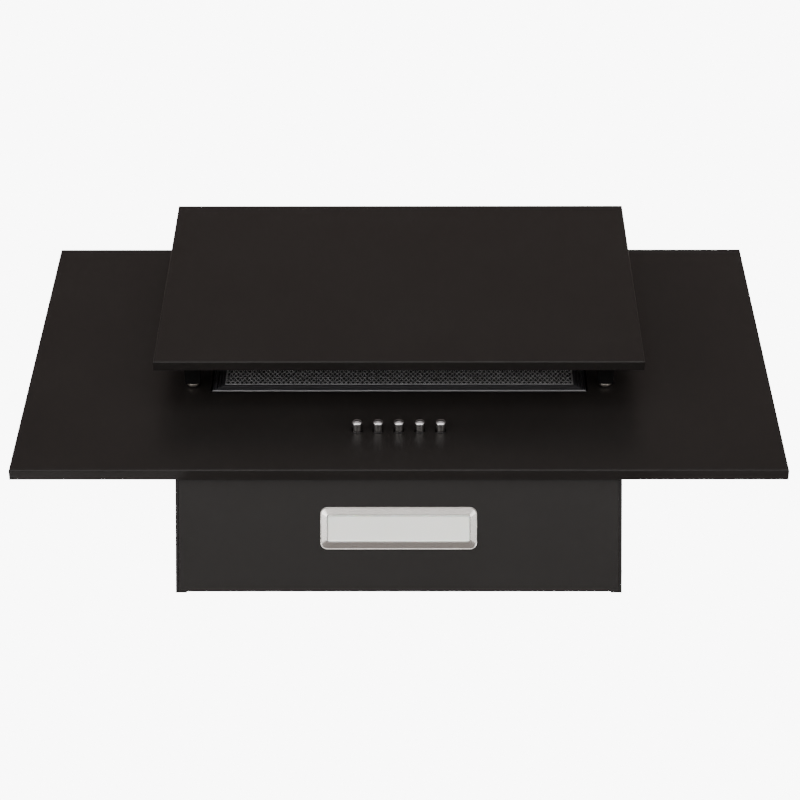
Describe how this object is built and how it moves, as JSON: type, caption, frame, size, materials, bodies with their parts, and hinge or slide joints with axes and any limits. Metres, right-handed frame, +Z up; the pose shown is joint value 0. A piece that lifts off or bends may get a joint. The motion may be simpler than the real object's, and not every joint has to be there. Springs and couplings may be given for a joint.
{
  "type": "inclined cooker hood",
  "caption": "Inclined wall-mounted cooker hood: sloping black steel panel with push buttons, a hinged flap over a grease filter, a blower body with an underside lamp, and a round outlet.",
  "frame": {"origin": "midway between the two hanging slots in the back, on the wall plane", "axes": "+Z up, +Y into the wall, -Y the front, X along the wall"},
  "size_m": [0.6, 0.3072, 0.3225],
  "materials": {
    "black_powder_coat": "satin, fine powder texture",
    "inner_steel": "blackened, satin",
    "zinc_fasteners": "zinc plated, satin",
    "polished_chrome": "polished",
    "nickel_steel": "nickel plated, satin",
    "satin_chrome": "satin chrome",
    "frosted_acrylic": "frosted, translucent",
    "white_plastic": "moulded, matt",
    "circuit_board": "white solder mask",
    "expanded_aluminium": "dark anodised expanded mesh",
    "black_plastic": "moulded, fine texture",
    "motor_paint": "semi-gloss",
    "black_rubber": "matt",
    "capacitor_shell": "drawn, satin"
  },
  "bodies": {
    "hood_body": {"back_plate": "black_powder_coat", "bottom_plate": "black_powder_coat", "button_rings": "polished_chrome", "cable_gland": "black_plastic", "capacitor": "capacitor_shell", "capacitor_clip": "inner_steel", "catch_discs": "nickel_steel", "collar_screws": "zinc_fasteners", "damper_pin": "zinc_fasteners", "filter_clips": "inner_steel", "filter_guides": "inner_steel", "front_frame": "black_powder_coat", "gland_nut": "black_plastic", "hinge_bases": "inner_steel", "hinge_pins": "zinc_fasteners", "hinge_screws": "zinc_fasteners", "inlet_ring": "black_plastic", "lamp_bezel": "satin_chrome", "lamp_box": "white_plastic", "lamp_lens": "frosted_acrylic", "led_board": "circuit_board", "led_driver": "white_plastic", "left_side_plate": "black_powder_coat", "main_panel": "black_powder_coat", "motor": "motor_paint", "motor_bracket": "inner_steel", "motor_screws": "zinc_fasteners", "outlet_collar": "black_plastic", "right_side_plate": "black_powder_coat", "rubber_mounts": "black_rubber", "scroll_inlet_half": "black_plastic", "scroll_motor_half": "black_plastic", "side_rivets": "zinc_fasteners", "switch_block": "black_plastic", "terminal_box": "black_plastic", "top_plate": "black_powder_coat"},
    "flap": {"flap_panel": "black_powder_coat", "flap_liner": "inner_steel", "hinge_arms": "inner_steel", "catch_posts": "black_plastic"},
    "grease_filter": {"filter_frame": "black_powder_coat", "filter_front_mesh": "expanded_aluminium", "filter_layers": "expanded_aluminium", "filter_rear_mesh": "expanded_aluminium", "filter_pull": "black_plastic"},
    "off_button": {"button_off": "polished_chrome", "plunger_off": "black_plastic"},
    "low_button": {"button_low": "polished_chrome", "plunger_low": "black_plastic"},
    "medium_button": {"button_medium": "polished_chrome", "plunger_medium": "black_plastic"},
    "high_button": {"button_high": "polished_chrome", "plunger_high": "black_plastic"},
    "lamp_button": {"button_lamp": "polished_chrome", "plunger_lamp": "black_plastic"},
    "fan": {"impeller": "black_plastic", "fan_shaft": "zinc_fasteners"},
    "front_damper": {"damper_front": "black_plastic"},
    "rear_damper": {"damper_rear": "black_plastic"}
  },
  "joints": [
    {"name": "flap_hinge", "type": "hinge", "parent": "hood_body", "child": "flap", "pos_m": [0, -0.27765, 0.01584], "axis": [-1, 0, 0], "range_deg": [0, 80]},
    {"name": "filter_tilt", "type": "hinge", "parent": "hood_body", "child": "grease_filter", "pos_m": [0, -0.14711, -0.16005], "axis": [1, 0, 0], "range_deg": [0, 7]},
    {"name": "off_press", "type": "slide", "parent": "hood_body", "child": "off_button", "axis": [0, 0.8572, 0.515], "range_m": [0, 0.0035], "stiffness_N_per_m": 500, "springref_m": -0.002},
    {"name": "low_press", "type": "slide", "parent": "hood_body", "child": "low_button", "axis": [0, 0.8572, 0.515], "range_m": [0, 0.0035], "stiffness_N_per_m": 500, "springref_m": -0.002},
    {"name": "medium_press", "type": "slide", "parent": "hood_body", "child": "medium_button", "axis": [0, 0.8572, 0.515], "range_m": [0, 0.0035], "stiffness_N_per_m": 500, "springref_m": -0.002},
    {"name": "high_press", "type": "slide", "parent": "hood_body", "child": "high_button", "axis": [0, 0.8572, 0.515], "range_m": [0, 0.0035], "stiffness_N_per_m": 500, "springref_m": -0.002},
    {"name": "lamp_press", "type": "slide", "parent": "hood_body", "child": "lamp_button", "axis": [0, 0.8572, 0.515], "range_m": [0, 0.0035], "stiffness_N_per_m": 500, "springref_m": -0.002},
    {"name": "fan_spin", "type": "hinge", "parent": "hood_body", "child": "fan", "pos_m": [0, -0.078, -0.085], "axis": [1, 0, 0], "continuous": true},
    {"name": "front_damper_swing", "type": "hinge", "parent": "hood_body", "child": "front_damper", "pos_m": [0, -0.115, 0.041], "axis": [-1, 0, 0], "range_deg": [0, 75]},
    {"name": "rear_damper_swing", "type": "hinge", "parent": "hood_body", "child": "rear_damper", "pos_m": [0, -0.115, 0.041], "axis": [1, 0, 0], "range_deg": [0, 75]}
  ]
}
